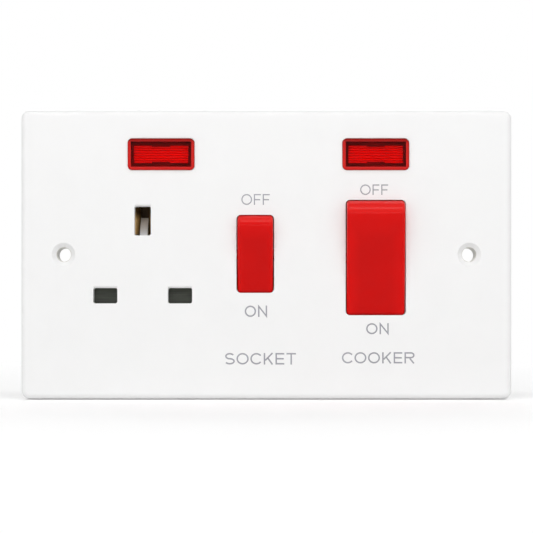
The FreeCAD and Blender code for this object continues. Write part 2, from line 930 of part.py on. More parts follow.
def front_plate():
    body = rounded_block(0.0, plate_width, front_y, 0.0, 0.0, plate_height, plate_corner_radius)
    body = round_front(body, front_y, plate_edge_radius)
    hollow = rounded_block(
        0.0,
        plate_width - 2.0 * rim_wall,
        inner_y,
        past,
        0.0,
        plate_height - 2.0 * rim_wall,
        rim_inner_radius,
    )
    body = body.cut(hollow)
    added = []
    for side in (-1.0, 1.0):
        added.append(rod_y(side * fixing_pitch / 2.0, inner_y - rocker_gap, 0.0, 0.0, fixing_boss_radius))
    for x, z in ear_places:
        added.append(rod_y(x, inner_y - rocker_gap, 0.0, z, base_screw_boss_radius))
    added += bearing(cooker_x, cooker_z, cooker_lug_x)
    added += bearing(socket_rocker_x, socket_rocker_z, socket_lug_x)
    pad_top = earth_z + earth_slot_height / 2.0 + pad_margin
    pad_foot = pin_z - pin_slot_height / 2.0 - pad_margin
    added.append(
        box(
            socket_x - pad_half_width,
            socket_x + pad_half_width,
            inner_y - rocker_gap,
            pad_y,
            pad_foot,
            pad_top,
        )
    )
    rail_foot = shutter_bottom_z - shutter_travel
    for side in (-1.0, 1.0):
        rail_x = socket_x + side * (shutter_bar_half + shutter_gap + shutter_rail_width / 2.0)
        rail_half = (shutter_top_z - rail_foot) / 2.0
        added.append(
            centred_box(
                rail_x,
                shutter_rail_width / 2.0,
                inner_y - rocker_gap,
                shutter_rear_y,
                rail_foot + rail_half,
                rail_half,
            )
        )
        stop_x = socket_x + side * (shutter_bar_half - shutter_rail_width)
        added.append(
            centred_box(
                stop_x,
                shutter_rail_width,
                inner_y - rocker_gap,
                shutter_rear_y,
                shutter_top_z + shutter_rail_width,
                shutter_rail_width,
            )
        )
    added.append(
        box(
            socket_x - shutter_stem_half,
            socket_x + shutter_stem_half,
            inner_y - rocker_gap,
            shutter_rear_y + shutter_thickness,
            spring_seat_z - shutter_spring_seat,
            spring_seat_z,
        )
    )
    for x in (socket_neon_x, cooker_x):
        for side in (-1.0, 1.0):
            stake_x = x + side * stake_offset
            added.append(rod_y(stake_x, inner_y - rocker_gap, tab_y, neon_z, stake_boss_radius))
            added.append(rod_y(stake_x, inner_y, tab_rear_y + stake_stand, neon_z, stake_radius))
    body = join([body] + added)
    for side in (-1.0, 1.0):
        x = side * fixing_pitch / 2.0
        sink = fixing_sink_radius - fixing_hole_radius
        cone = Part.makeCone(
            fixing_sink_radius,
            fixing_hole_radius,
            sink,
            Vector(x, front_y, 0.0),
            AXIS_Y,
        )
        body = body.cut(rod_y(x, front_y - past, past, 0.0, fixing_hole_radius)).cut(cone)
    for x, z in ear_places:
        pilot = base_screw_radius + base_screw_clearance
        body = body.cut(rod_y(x, -base_screw_depth - base_screw_clearance, past, z, pilot))
    slots = [
        (socket_x, earth_z, earth_slot_width, earth_slot_height),
        (line_pin_x, pin_z, pin_slot_width, pin_slot_height),
        (neutral_pin_x, pin_z, pin_slot_width, pin_slot_height),
    ]
    for x, z, width, height in slots:
        body = body.cut(rounded_block(x, width, front_y - past, pad_y + past, z, height, pin_slot_radius))
        top = z + height / 2.0
        lip = [(front_y - past, top), (front_y - past, top + slot_lip + past), (front_y + slot_lip, top)]
        body = body.cut(prism_x(lip, x - width / 2.0, x + width / 2.0))
    for x in (socket_neon_x, cooker_x):
        body = body.cut(
            rounded_block(
                x,
                lens_width + 2.0 * lens_gap,
                front_y - past,
                inner_y + past,
                neon_z,
                lens_height + 2.0 * lens_gap,
                lens_corner_radius,
            )
        )
    corner = rocker_side_round + rocker_gap
    openings = [
        (cooker_x, cooker_z, cooker_opening_width, cooker_opening_height),
        (socket_rocker_x, socket_rocker_z, socket_opening_width, socket_opening_height),
    ]
    for x, z, width, height in openings:
        cutter = opening_solid(width, height, corner)
        cutter.translate(Vector(x, pivot_y, z))
        body = body.cut(cutter)
    return body


# Base

def keeper(x, z, lug_x):
    half = trunnion_radius + trunnion_clearance - keeper_clearance
    tip_y = pivot_y + trunnion_radius + trunnion_clearance
    keepers = []
    for side in (-1.0, 1.0):
        middle = x + side * (lug_x + lug_thickness / 2.0)
        keepers.append(centred_box(middle, lug_thickness / 2.0, tip_y, base_wall, z, half))
    return keepers


def rear_mouldings():
    """The socket base and the switch base, which meet at the left wall of the socket switch."""
    low = base_bottom + base_wall
    high = base_top - base_wall
    high_x = base_right - base_wall
    body = rounded_block(
        (base_left + base_right) / 2.0,
        base_right - base_left,
        0.0,
        base_depth,
        (base_bottom + base_top) / 2.0,
        base_top - base_bottom,
        base_corner_radius,
    )
    body = round_front(body, base_depth, base_edge_radius)
    for x0, x1 in rear_panels:
        panel = rounded_block(
            (x0 + x1) / 2.0,
            x1 - x0,
            base_depth - panel_depth,
            base_depth + past,
            cooker_z,
            2.0 * chamber_half_height - 2.0 * panel_margin,
            base_corner_radius,
        )
        body = body.cut(panel)
    bay_right = cooker_x - cooker_lug_x - lug_thickness - lug_gap
    pockets = [
        (cooker_x - cooker_lug_x, cooker_x + cooker_lug_x, low, high),
        (socket_rocker_x - socket_lug_x, socket_rocker_x + socket_lug_x, switch_foot, switch_top),
        (base_left + base_wall, switch_left, low, high),
        (switch_left - past, bay_right, switch_top + base_wall, high),
        (switch_left - past, bay_right, low, switch_foot - base_wall),
        (switch_right, bay_right, low, high),
    ]
    for x0, x1, z0, z1 in pockets:
        body = body.cut(box(x0, x1, -past, floor_y, z0, z1))
    added = []
    for x, z in ear_places:
        added.append(rod_y(x, 0.0, ear_thickness, z, ear_radius))
        if x > base_right:
            added.append(box(high_x, x, 0.0, ear_thickness, z - ear_radius, z + ear_radius))
        else:
            foot = min(max(z, low), high)
            middle = (foot + z) / 2.0
            added.append(centred_box(x, ear_radius, 0.0, ear_thickness, middle, abs(foot - z) / 2.0))
    for x in (cooker_x, cooker_x - cooker_lug_x - lug_thickness / 2.0):
        added.append(
            box(
                x - fin_thickness / 2.0,
                x + fin_thickness / 2.0,
                fin_front,
                base_depth - base_edge_radius,
                base_bottom - fin_height,
                base_top + fin_height,
            )
        )
    added += keeper(cooker_x, cooker_z, cooker_lug_x)
    added += keeper(socket_rocker_x, socket_rocker_z, socket_lug_x)
    added.append(
        box(cooker_x - partition_half, cooker_x + partition_half, partition_front, floor_y, low, high)
    )
    for x in (line_x, neutral_x):
        added.append(centred_box(x, half_contact, tongue_rear_y, floor_y, cooker_z, saddle_half_length))
        added.append(
            centred_box(x, half_contact, tongue_rear_y, floor_y, cooker_z + tip_face_rise, tip_radius)
        )
    added.append(
        centred_box(
            socket_rocker_x,
            half_contact,
            link_rear_y,
            floor_y,
            socket_rocker_z,
            saddle_half_length,
        )
    )
    added.append(
        centred_box(socket_rocker_x, half_contact, tongue_rear_y, floor_y, socket_tip_z, tip_radius)
    )
    added.append(centred_box(line_pin_x, half_strap, tongue_rear_y, floor_y, pin_z, half_strap))
    added.append(centred_box(neutral_pin_x, half_strap, pin_web_rear_y, floor_y, pin_z, pin_leaf_grip))
    added.append(
        centred_box(
            socket_x,
            half_strap,
            earth_web_rear_y,
            floor_y,
            earth_leaf_z + earth_leaf_height / 2.0,
            earth_leaf_height / 2.0,
        )
    )
    post_top = shutter_top_z - rest_post_half
    post_foot = shutter_bottom_z - shutter_travel
    for side in (-1.0, 1.0):
        x = socket_x + side * rest_post_offset
        added.append(
            box(
                x - rest_post_half,
                x + rest_post_half,
                shutter_rear_y + shutter_gap,
                floor_y,
                post_foot,
                post_top,
            )
        )
    body = join([body] + added)
    line_slot = (
        socket_rocker_x - half_contact,
        line_x + half_contact,
        link_rear_y,
        line_strap_z,
    )
    neutral_slot = (
        neutral_pin_x - half_leaf,
        neutral_x,
        neutral_strap_rear_y,
        neutral_strap_z,
    )
    for x0, x1, deep, z in (line_slot, neutral_slot):
        half = half_strap + slot_clearance
        body = body.cut(
            box(x0 - slot_clearance, x1 + slot_clearance, -past, deep + slot_clearance, z - half, z + half)
        )
    run_slot = box(
        switch_left - slot_clearance,
        socket_rocker_x,
        -past,
        tongue_rear_y,
        fixed_tongue_z - slot_clearance,
        socket_tip_top + slot_clearance,
    )
    body = body.cut(run_slot)
    for x, z, radius, side in terminal_places:
        hole = radius + wire_hole_margin
        screw_hole = terminal_screw_head_radius + screw_hole_margin
        wall_z = high if side > 0.0 else base_bottom
        body = body.cut(rod_z(x, bore_y, wall_z - past, wall_z + base_wall + past, hole))
        body = body.cut(rod_y(x, floor_y - past, base_depth + past, z, screw_hole))
    for x, z in ear_places:
        hole = base_screw_radius + base_screw_clearance
        body = body.cut(rod_y(x, -past, ear_thickness + past, z, hole))
    reach = plate_width
    socket_side = box(-reach, switch_left, -reach, reach, -reach, reach)
    return body.common(socket_side), body.cut(socket_side)


# Write every piece

os.makedirs("parts", exist_ok=True)

save("front_plate", front_plate())
socket_base, switch_base = rear_mouldings()
save("socket_base", socket_base)
save("switch_base", switch_base)
save_group("base_screws", [base_screw(x, z) for x, z in ear_places])
save_group("terminal_screws", [terminal_screw(x, z, r) for x, z, r, side in terminal_places])
save("cooker_line_in_terminal", in_terminal(line_terminal_x, line_x))
save("cooker_line_out_terminal", out_terminal(line_terminal_x, line_x))
save("cooker_neutral_in_terminal", in_terminal(neutral_terminal_x, neutral_x))
save("cooker_neutral_out_terminal", out_terminal(neutral_terminal_x, neutral_x))
save(
    "earth_terminal",
    terminal_block(
        earth_terminal_x,
        earth_terminal_width,
        [-earth_bore_offset, earth_bore_offset],
        earth_bore_radius,
        1.0,
    ),
)
save("line_link", line_link())
save("neutral_link", neutral_link())
save("socket_line_contact", socket_line_contact())
save("socket_neutral_contact", socket_neutral_contact())
save("socket_earth_contact", socket_earth_contact())
save_group(
    "fixed_contact_tips",
    [
        fixed_tip(line_x, cooker_z),
        fixed_tip(neutral_x, cooker_z),
        fixed_tip(socket_rocker_x, socket_rocker_z),
    ],
)

for title, x in (("socket_neon", socket_neon_x), ("cooker_neon", cooker_x)):
    save(title + "_lens", lens(x))
    save(title + "_capsule", capsule(x))
    save(title + "_lamp", lamp(x))
    save(title + "_resistor", resistor(x))

cooker_rocker = rocker(cooker_opening_width, cooker_opening_height, cooker_roll, [-pole_offset, pole_offset])
save("cooker_rocker", place_on_rocker(cooker_rocker, cooker_x, cooker_z))
socket_rocker = rocker(socket_opening_width, socket_opening_height, socket_roll, [0.0])
save("socket_rocker", place_on_rocker(socket_rocker, socket_rocker_x, socket_rocker_z))

poles = [
    ("cooker_line", line_x, cooker_z),
    ("cooker_neutral", neutral_x, cooker_z),
    ("socket", socket_rocker_x, socket_rocker_z),
]
for title, x, z in poles:
    save(title + "_plunger", place_on_rocker(plunger(0.0), x, z))
    save(title + "_plunger_spring", place_on_rocker(plunger_spring(0.0), x, z))
    save(title + "_moving_contact", place_on_contact(moving_contact(), x, z))
    save(title + "_moving_tip", place_on_contact(moving_tip(), x, z))

save("shutter_slide", shutter_slide())
save("shutter_blade", shutter_blade())
save("shutter_spring", shutter_spring())
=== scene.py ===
import bmesh
import bpy
import json
import math
from collections import namedtuple
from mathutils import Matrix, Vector

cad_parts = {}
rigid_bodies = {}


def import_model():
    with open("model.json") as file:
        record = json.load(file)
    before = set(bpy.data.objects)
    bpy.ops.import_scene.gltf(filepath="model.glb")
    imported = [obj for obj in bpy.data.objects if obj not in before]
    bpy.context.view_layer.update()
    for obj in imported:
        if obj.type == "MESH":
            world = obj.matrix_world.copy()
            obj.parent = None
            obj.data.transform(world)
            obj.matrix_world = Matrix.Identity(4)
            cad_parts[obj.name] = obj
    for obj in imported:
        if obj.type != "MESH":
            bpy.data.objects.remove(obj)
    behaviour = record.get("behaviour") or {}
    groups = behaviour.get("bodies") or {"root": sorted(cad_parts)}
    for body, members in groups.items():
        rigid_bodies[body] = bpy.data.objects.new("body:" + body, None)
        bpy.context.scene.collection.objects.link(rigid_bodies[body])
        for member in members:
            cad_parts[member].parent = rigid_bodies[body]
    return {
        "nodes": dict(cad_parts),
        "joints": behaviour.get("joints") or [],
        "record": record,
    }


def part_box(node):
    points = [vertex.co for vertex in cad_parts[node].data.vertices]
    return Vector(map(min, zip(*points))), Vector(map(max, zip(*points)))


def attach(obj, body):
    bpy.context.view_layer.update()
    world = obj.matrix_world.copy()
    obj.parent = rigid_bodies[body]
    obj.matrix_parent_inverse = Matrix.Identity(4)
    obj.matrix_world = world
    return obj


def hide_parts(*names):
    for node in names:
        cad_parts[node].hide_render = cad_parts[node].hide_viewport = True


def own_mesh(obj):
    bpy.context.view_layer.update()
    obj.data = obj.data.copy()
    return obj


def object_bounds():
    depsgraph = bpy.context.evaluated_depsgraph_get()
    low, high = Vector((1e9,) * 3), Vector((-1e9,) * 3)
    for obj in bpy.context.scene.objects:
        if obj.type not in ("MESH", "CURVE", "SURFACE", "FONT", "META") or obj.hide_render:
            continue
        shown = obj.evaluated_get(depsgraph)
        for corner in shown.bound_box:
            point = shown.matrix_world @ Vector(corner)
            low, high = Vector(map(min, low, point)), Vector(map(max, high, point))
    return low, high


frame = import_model()
cad_low, cad_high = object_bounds()
nodes = frame["nodes"]

MM = 0.001

# Photograph: its width and the plate's middle in pixels, and a pixel's size on the plate in millimetres
PICTURE = 533.0
PLATE_PIXEL_X = 266.4
PLATE_PIXEL_Y = 254.5
PIXEL = 0.2972

# Camera and plate, in millimetres
PLATE_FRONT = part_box("front_plate")[0].y / MM
CAMERA_DISTANCE = 560.0
CAMERA_DROP = 19.5
CLIP_START = 10.0
SENSOR = 36.0

# Fixing holes: their offset from the plate's middle and the reach of the painted shade on their walls, in
# millimetres
fixing = next(mount["dims"] for mount in frame["record"]["mounts"] if mount["name"] == "wall_fixing")
WALL_MARGIN = 0.1
WALL_SOFT = 0.03
FIXING_OFFSET = fixing["spacing_x_mm"] / 2.0
FIXING_REACH = fixing["hole_r_mm"] + WALL_MARGIN

# Rockers: the lip with its painted highlight, and the zones of painted light by it and by the sides, as
# shares of the rocker's size
LIP_FOOT = 0.872
LIP_TOP = 0.892
BROW_START = 0.66
EDGE_START = 0.20
EDGE_END = 0.38
# How much brighter the painted light by the sides and the lip makes the red
PAINTED_LIGHT_GAIN = 1.18

# Lenses: whole size, and half sizes of the clear window, the bright panel and its notches, in millimetres
lens_low, lens_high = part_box("socket_neon_lens")
LENS_BOX = ((lens_high.x - lens_low.x) / MM, (lens_high.z - lens_low.z) / MM)
LENS_WINDOW = (8.95, 3.75)
LENS_PANEL = (8.1, 2.7)
NOTCH_HALF_WIDTH = 2.65
NOTCH_LEVEL = 2.25
PAST_LENS = 20.0
WINDOW_SOFT = 0.04
PANEL_SOFT = 0.12

# Lenses: the painted shade on the window outside the panel, and the painted shade of the rim towards its
# top, as shares
PANEL_SHADE = 0.57
RIM_TOP_SHADE = ((0.3, 1.0), (0.8, 0.9), (0.87, 0.45))

# Neon capsules: the ribs and the depths where their paint ends, in millimetres, and the painted shade and
# light across a rib
RIB_COUNT = 7
RIB_BAND = 5.4
RIB_PITCH = RIB_BAND / RIB_COUNT
RIB_FOOT = 27.1
RIB_FADE = (-7.9, -7.7)
RIB_LIGHT_AND_SHADE = ((0.1, 0.66), (0.8, 1.12))

# Socket contacts and shutter slide: depths and levels over which their painted shade deepens, in
# millimetres
CONTACT_FADE = (-3.0, 9.0)
CONTACT_SHADE = (10.3, 13.0)
SLIDE_FADE = (-4.4, 1.1)

# Legends: strokes as shares of the cap height, boxes in pixels of the photograph, ink in millimetres
STROKE = 0.13
THIN_STROKE = 0.105
Legend = namedtuple("Legend", "piece word stroke left right top foot")
LEGENDS = [
    Legend("legend_socket_off", "OFF", THIN_STROKE, left=241.4, right=269.7, top=194.1, foot=204.9),
    Legend("legend_socket_on", "ON", STROKE, left=244.8, right=267.1, top=305.6, foot=316.9),
    Legend("legend_cooker_off", "OFF", THIN_STROKE, left=360.2, right=388.1, top=184.5, foot=194.9),
    Legend("legend_cooker_on", "ON", STROKE, left=366.2, right=388.7, top=323.2, foot=334.2),
    Legend("legend_socket", "SOCKET", STROKE, left=224.7, right=295.9, top=353.0, foot=364.5),
    Legend("legend_cooker", "COOKER", STROKE, left=341.9, right=414.6, top=352.2, foot=363.4),
]
INK_DEPTH = 0.02
INK_SINK = 0.01

# Letters: widths, gaps and inner places as shares of the cap height, mouths in degrees
LETTER_WIDTH = {
    "C": 0.95,
    "E": 0.75,
    "F": 0.68,
    "K": 0.81,
    "N": 0.84,
    "O": 1.04,
    "R": 0.88,
    "S": 0.86,
    "T": 0.80,
}
ROUND_LETTERS = "COS"
ROUND_GAP = 0.14
PLAIN_GAP = 0.19
MIDDLE = 0.5
C_MIDDLE = 0.52
C_MOUTH = 38.0
S_MOUTH = 28.0
S_UPPER_SHARE = 0.9
K_ARM_FOOT = 0.36
K_LEG_TOP = (0.36, 0.55)
E_BAR_SHARE = 0.94
F_BAR_SHARE = 0.9
F_BAR_LEVEL = 0.48
R_BOWL_MIDDLE = (0.56, 0.725)
R_BOWL_RADII = (0.25, 0.21)
R_LEG_TOP = (0.46, 0.45)
ARC_STEPS = 40
MITRE_LIMIT = 0.35

# Strengths of the light all round, the background and the floor's glow
AMBIENT = 0.34
BACKDROP = 1.0
FLOOR_LIFT = 0.20

# Floor: its corners, half size, drop below the part, and reach from shadow to background, in metres
SQUARE = ((-1.0, -1.0), (1.0, -1.0), (1.0, 1.0), (-1.0, 1.0))
FLOOR_HALF = 2.5
FLOOR_DROP = 0.0002
FLOOR_NEAR = 0.12
FLOOR_FAR = 0.45

# Colours
PURE_WHITE = (1.0, 1.0, 1.0, 1.0)
WHITE = (0.87, 0.87, 0.868)
# Painted shade on the walls of the fixing holes
BORE_SHADE = (0.55, 0.53, 0.47)
BASE = (0.78, 0.78, 0.76)
NATURAL = (0.86, 0.85, 0.82)
NYLON = (0.80, 0.78, 0.72)
COAT = (0.55, 0.40, 0.24)
INK = (0.33, 0.33, 0.36)
RED = (0.57, 0.0020, 0.0014)
# Painted highlight on the rocker's lip
RED_LIP_HIGHLIGHT = (0.715, 0.011, 0.009)
SHUTTER = (0.045, 0.049, 0.038)
TINT = (0.89, 0.020, 0.012)
RIM = (0.60, 0.022, 0.019)
GLASS = (0.95, 0.87, 0.81)
BRASS = (0.78, 0.56, 0.27)
# Brass of the socket contacts where lit, and in painted shade
LIT_BRASS = (0.96, 0.60, 0.23)
SHADED_BRASS = (0.13, 0.065, 0.015)
ZINC = (0.66, 0.66, 0.64)
SPRING = (0.58, 0.58, 0.58)
SILVER = (0.82, 0.81, 0.78)
# The slide's ramp lit at the front and in painted shade further in
SLIDE_LIT = (0.97, 0.97, 0.98)
SLIDE_SHADED = (0.46, 0.41, 0.36)
FLOOR = (0.89, 0.89, 0.89)

# Textures: range of most of a noise, a wave's turn per unit in radians, a piece's centre, and stretches
NOISE_LOW = 0.3
NOISE_HIGH = 0.7
WAVE_TURN = 20.0
CENTRE = (0.5, 0.5, 0.5)
EVEN = (1.0, 1.0, 1.0)
ALONG_X = (0.06, 1.0, 1.0)
ALONG_Y = (1.0, 0.06, 1.0)
SHUTTER_LINES = (0.03, 1.0, 1.0)

# Finish: the small inner mouldings, how far roughness and red wander, and a metal's tarnish as shares
NATURAL_FINISH = {"rough": 0.42, "specular": 0.3, "grain": 0.4, "relief": 0.008, "edge": 0.1}
MOULD_GLOSS = (-0.04, 0.06)
METAL_GLOSS = (-0.08, 0.12)
RED_SPREAD = 0.03
TARNISH = ((0.25, 0.62), (0.5, 0.9), (0.8, 1.0))
BEVEL_SAMPLES = 4

# Sockets of a Mix node that carry colours
MIX_FIRST = 6
MIX_SECOND = 7
MIX_RESULT = 2

bpy.context.scene.view_settings.view_transform = "Standard"


def put(name, data):
    """A new object in the scene."""
    item = bpy.data.objects.new(name, data)
    bpy.context.scene.collection.objects.link(item)
    return item


# Node trees

def shade(colour, factor):
    """A colour made darker or brighter by a factor."""
    return tuple(min(1.0, part * factor) for part in colour)


def shades(colour, stops):
    """Ramp stops of one colour, from places and factors."""
    return [(place, shade(colour, factor)) for place, factor in stops]


class Tree:
    """A node tree with short ways to add nodes to it."""

    def __init__(self, tree):
        self.tree = tree

    def add(self, kind):
        return self.tree.nodes.new(kind)

    def join(self, source, target):
        self.tree.links.new(source, target)

    def show(self, shader, output):
        """Link a shader to the surface of the named output node."""
        self.join(shader, self.tree.nodes[output].inputs["Surface"])

    def span(self, source, low=0.0, high=1.0, start=0.0, end=1.0):
        """A value that runs from low to high while the source runs from start to end."""
        node = self.add("ShaderNodeMapRange")
        node.inputs["From Min"].default_value = start
        node.inputs["From Max"].default_value = end
        node.inputs["To Min"].default_value = low
        node.inputs["To Max"].default_value = high
        self.join(source, node.inputs["Value"])
        return node.outputs["Result"]

    def pair(self, operation, first, second):
        node = self.add("ShaderNodeMath")
        node.operation = operation
        self.join(first, node.inputs[0])
        self.join(second, node.inputs[1])
        return node.outputs["Value"]

    def lesser(self, first, second):
        return self.pair("MINIMUM", first, second)

    def greater(self, first, second):
        return self.pair("MAXIMUM", first, second)

    def background(self):
        """One for rays that show the background: camera, glossy and transmission rays."""
        path = self.add("ShaderNodeLightPath")
        seen = path.outputs["Is Camera Ray"]
        for name in ("Is Glossy Ray", "Is Transmission Ray"):
            seen = self.greater(seen, path.outputs[name])
        return seen

    def glow(self):
        """A white glow of plain strength."""
        node = self.add("ShaderNodeEmission")
        node.inputs["Color"].default_value = PURE_WHITE
        return node

    def mix_shaders(self, factor, first, second):
        node = self.add("ShaderNodeMixShader")
        self.join(factor, node.inputs["Fac"])
        self.join(first, node.inputs[1])
        self.join(second, node.inputs[2])
        return node.outputs["Shader"]


class Paint(Tree):
    """A material with a Principled shader and the nodes that drive it."""

    def __init__(self, name):
        self.material = bpy.data.materials.new(name)
        self.material.use_nodes = True
        super().__init__(self.material.node_tree)
        self.shader = self.tree.nodes["Principled BSDF"]
        places = self.add("ShaderNodeTexCoord")
        self.where = places.outputs["Object"]
        self.within = places.outputs["Generated"]

    def set(self, **values):
        """Set inputs of the shader, with underscores for the spaces in their names."""
        for key, value in values.items():
            self.shader.inputs[key.replace("_", " ")].default_value = value

    def drive(self, **sources):
        """Link sources to inputs of the shader, with underscores for the spaces in their names."""
        for key, source in sources.items():
            self.join(source, self.shader.inputs[key.replace("_", " ")])

    def noise(self, size, detail=2.0, stretch=EVEN):
        """Noise with features of about the given size in millimetres."""
        mapping = self.add("ShaderNodeMapping")
        mapping.inputs["Scale"].default_value = stretch
        self.join(self.where, mapping.inputs["Vector"])
        node = self.add("ShaderNodeTexNoise")
        node.inputs["Scale"].default_value = 1.0 / (size * MM)
        node.inputs["Detail"].default_value = detail
        self.join(mapping.outputs["Vector"], node.inputs["Vector"])
        return node.outputs["Fac"]

    def mottle(self):
        """The slow mottle of a moulding."""
        return self.noise(size=9.0, detail=4.0)

    def waves(self, pitch, foot):
        """Level bands of the given pitch, dark at the given height, in millimetres."""
        turn = 2.0 * math.pi / (pitch * MM)
        node = self.add("ShaderNodeTexWave")
        node.bands_direction = "Z"
        node.inputs["Scale"].default_value = turn / WAVE_TURN
        node.inputs["Phase Offset"].default_value = -foot * MM * turn
        self.join(self.where, node.inputs["Vector"])
        return node.outputs["Fac"]

    def ramp(self, source, stops):
        """A colour from the source by two or more stops of place and colour."""
        node = self.add("ShaderNodeValToRGB")
        ramp = node.color_ramp
        for element, (place, colour) in zip(ramp.elements, (stops[0], stops[-1])):
            element.position = place
            element.color = colour + (1.0,)
        for place, colour in stops[1:-1]:
            ramp.elements.new(place).color = colour + (1.0,)
        self.join(source, node.inputs["Fac"])
        return node.outputs["Color"]

    def blotch(self, source, colour, spread):
        """A colour that wanders with the source by the given share either way."""
        return self.ramp(source, shades(colour, ((NOISE_LOW, 1.0 - spread), (NOISE_HIGH, 1.0 + spread))))

    def mix(self, factor, first, second):
        node = self.add("ShaderNodeMix")
        node.data_type = "RGBA"
        self.join(factor, node.inputs["Factor"])
        self.join(first, node.inputs[MIX_FIRST])
        self.join(second, node.inputs[MIX_SECOND])
        return node.outputs[MIX_RESULT]

    def vector(self, operation, source, value=(0.0, 0.0, 0.0)):
        node = self.add("ShaderNodeVectorMath")
        node.operation = operation
        node.inputs[1].default_value = value
        self.join(source, node.inputs[0])
        return node.outputs

    def split(self, source):
        node = self.add("ShaderNodeSeparateXYZ")
        self.join(source, node.inputs["Vector"])
        return node.outputs

    def depth(self, front, back):
        """Nought at the front depth and one at the back depth, in millimetres."""
        return self.span(self.split(self.where)["Y"], start=front * MM, end=back * MM)

    def level(self, low, high):
        """Nought at the low level and one at the high level, in millimetres."""
        return self.span(self.split(self.where)["Z"], start=low * MM, end=high * MM)

    def height(self):
        """Height within the piece, from nought at its foot to one at its top."""
        return self.split(self.within)["Z"]

    def away(self):
        """Distance from the middle of the piece along each axis, as a share of its size."""
        apart = self.vector("SUBTRACT", self.within, CENTRE)["Vector"]
        return self.split(self.vector("ABSOLUTE", apart)["Vector"])

    def inside(self, distance, reach, soft):
        """One where the distance is under the reach and nought past it, with a soft edge."""
        return self.span(distance, low=1.0, high=0.0, start=reach - soft, end=reach + soft)

    def bores(self, offset, radius, soft):
        """One in two round bores at the offset either way in X, and nought elsewhere, in millimetres."""
        sides = self.vector("ABSOLUTE", self.where)["Vector"]
        apart = self.vector("SUBTRACT", sides, (offset * MM, 0.0, 0.0))["Vector"]
        across = self.vector("MULTIPLY", apart, (1.0, 0.0, 1.0))["Vector"]
        return self.inside(self.vector("LENGTH", across)["Value"], radius * MM, soft * MM)

    def window(self, sizes, halves, soft):
        """One inside a window about the middle of the piece and nought outside, in millimetres."""
        away = self.away()
        sides = []
        for axis, whole, half in zip("XZ", sizes, halves):
            sides.append(self.inside(away[axis], half / whole, soft / whole))
        return self.lesser(*sides)

    def outside(self, sizes, halves, soft):
        """Nought inside a window about the middle of the piece and one outside, in millimetres."""
        return self.span(self.window(sizes, halves, soft), low=1.0, high=0.0)

    def gloss(self, source, rough, wander):
        """Roughness that wanders with the source about the given value."""
        low, high = wander
        self.drive(Roughness=self.span(source, rough + low, rough + high))

    def bump(self, source, height, strength, edge=0.0):
        """Surface relief of the given height, with edges rounded by the given radius, in millimetres."""
        node = self.add("ShaderNodeBump")
        node.inputs["Strength"].default_value = strength
        node.inputs["Distance"].default_value = height * MM
        self.join(source, node.inputs["Height"])
        if edge > 0.0:
            bevel = self.add("ShaderNodeBevel")
            bevel.samples = BEVEL_SAMPLES
            bevel.inputs["Radius"].default_value = edge * MM
            self.join(bevel.outputs["Normal"], node.inputs["Normal"])
        self.drive(Normal=node.outputs["Normal"])


# Materials

def plastic(name, rough, specular, grain, relief, edge=0.0):
    """Moulded plastic with fine grain in the gloss and the surface; its colour is set later."""
    paint = Paint(name)
    paint.set(Specular_IOR_Level=specular)
    paint.gloss(paint.noise(size=1.3, detail=3.0), rough, MOULD_GLOSS)
    paint.bump(paint.noise(grain), relief, strength=0.5, edge=edge)
    return paint


def moulding(name, colour, spread, rough, grain, relief, specular=0.3, edge=0.0):
    """Moulded plastic of one colour with a slow mottle."""
    paint = plastic(name, rough, specular, grain, relief, edge)
    paint.drive(Base_Color=paint.blotch(paint.mottle(), colour, spread))
    return paint


def drawn(name, metallic, rough, stretch):
    """Drawn and pressed metal with fine lines; its colour is set later."""
    paint = Paint(name)
    paint.set(Metallic=metallic)
    lines = paint.noise(size=0.25, detail=3.0, stretch=stretch)
    paint.gloss(lines, rough, METAL_GLOSS)
    paint.bump(lines, height=0.01, strength=0.6, edge=0.08)
    return paint


def metal(name, colour, rough, stretch):
    """Drawn metal of one colour with a slight tarnish."""
    paint = drawn(name, metallic=1.0, rough=rough, stretch=stretch)
    stain = paint.noise(size=4.0, detail=6.0)
    paint.drive(Base_Color=paint.ramp(stain, shades(colour, TARNISH)))
    return paint


def plate_paint():
    """White plate, with painted shade on the walls of the fixing holes."""
    paint = plastic("white_moulding", rough=0.30, specular=0.35, grain=0.35, relief=0.004)
    mottle = paint.mottle()
    face = paint.blotch(mottle, WHITE, spread=0.006)
    # Painted shade on the walls of the fixing holes
    walls = paint.blotch(mottle, BORE_SHADE, spread=0.05)
    paint.drive(Base_Color=paint.mix(paint.bores(FIXING_OFFSET, FIXING_REACH, WALL_SOFT), face, walls))
    return paint


def rocker_paint():
    """Red rocker with painted light towards the sides and the lip, and a painted highlight on the lip."""
    paint = plastic("red_rocker", rough=0.20, specular=0.11, grain=0.45, relief=0.0015)
    mottle = paint.mottle()
    dark = paint.blotch(mottle, RED, RED_SPREAD)
    # Painted light towards the sides and below the lip
    bright = paint.blotch(mottle, shade(RED, PAINTED_LIGHT_GAIN), RED_SPREAD)
    # Painted highlight on the lip
    painted_highlight = paint.blotch(mottle, RED_LIP_HIGHLIGHT, RED_SPREAD)
    sides = paint.span(paint.away()["X"], start=EDGE_START, end=EDGE_END)
    brow = paint.span(paint.height(), start=BROW_START, end=LIP_FOOT)
    lip = paint.span(paint.height(), start=LIP_FOOT, end=LIP_TOP)
    face = paint.mix(paint.greater(sides, brow), dark, bright)
    paint.drive(Base_Color=paint.mix(lip, face, painted_highlight))
    return paint


def shutter_paint():
    """Grey shutter with fine lines across."""
    paint = Paint("grey_shutter")
    paint.set(Specular_IOR_Level=0.3)
    lines = paint.noise(size=0.28, stretch=SHUTTER_LINES)
    paint.drive(
        Base_Color=paint.blotch(lines, SHUTTER, spread=0.28),
        Roughness=paint.span(paint.noise(size=0.8), low=0.4, high=0.55),
    )
    paint.bump(lines, height=0.02, strength=0.7, edge=0.1)
    return paint


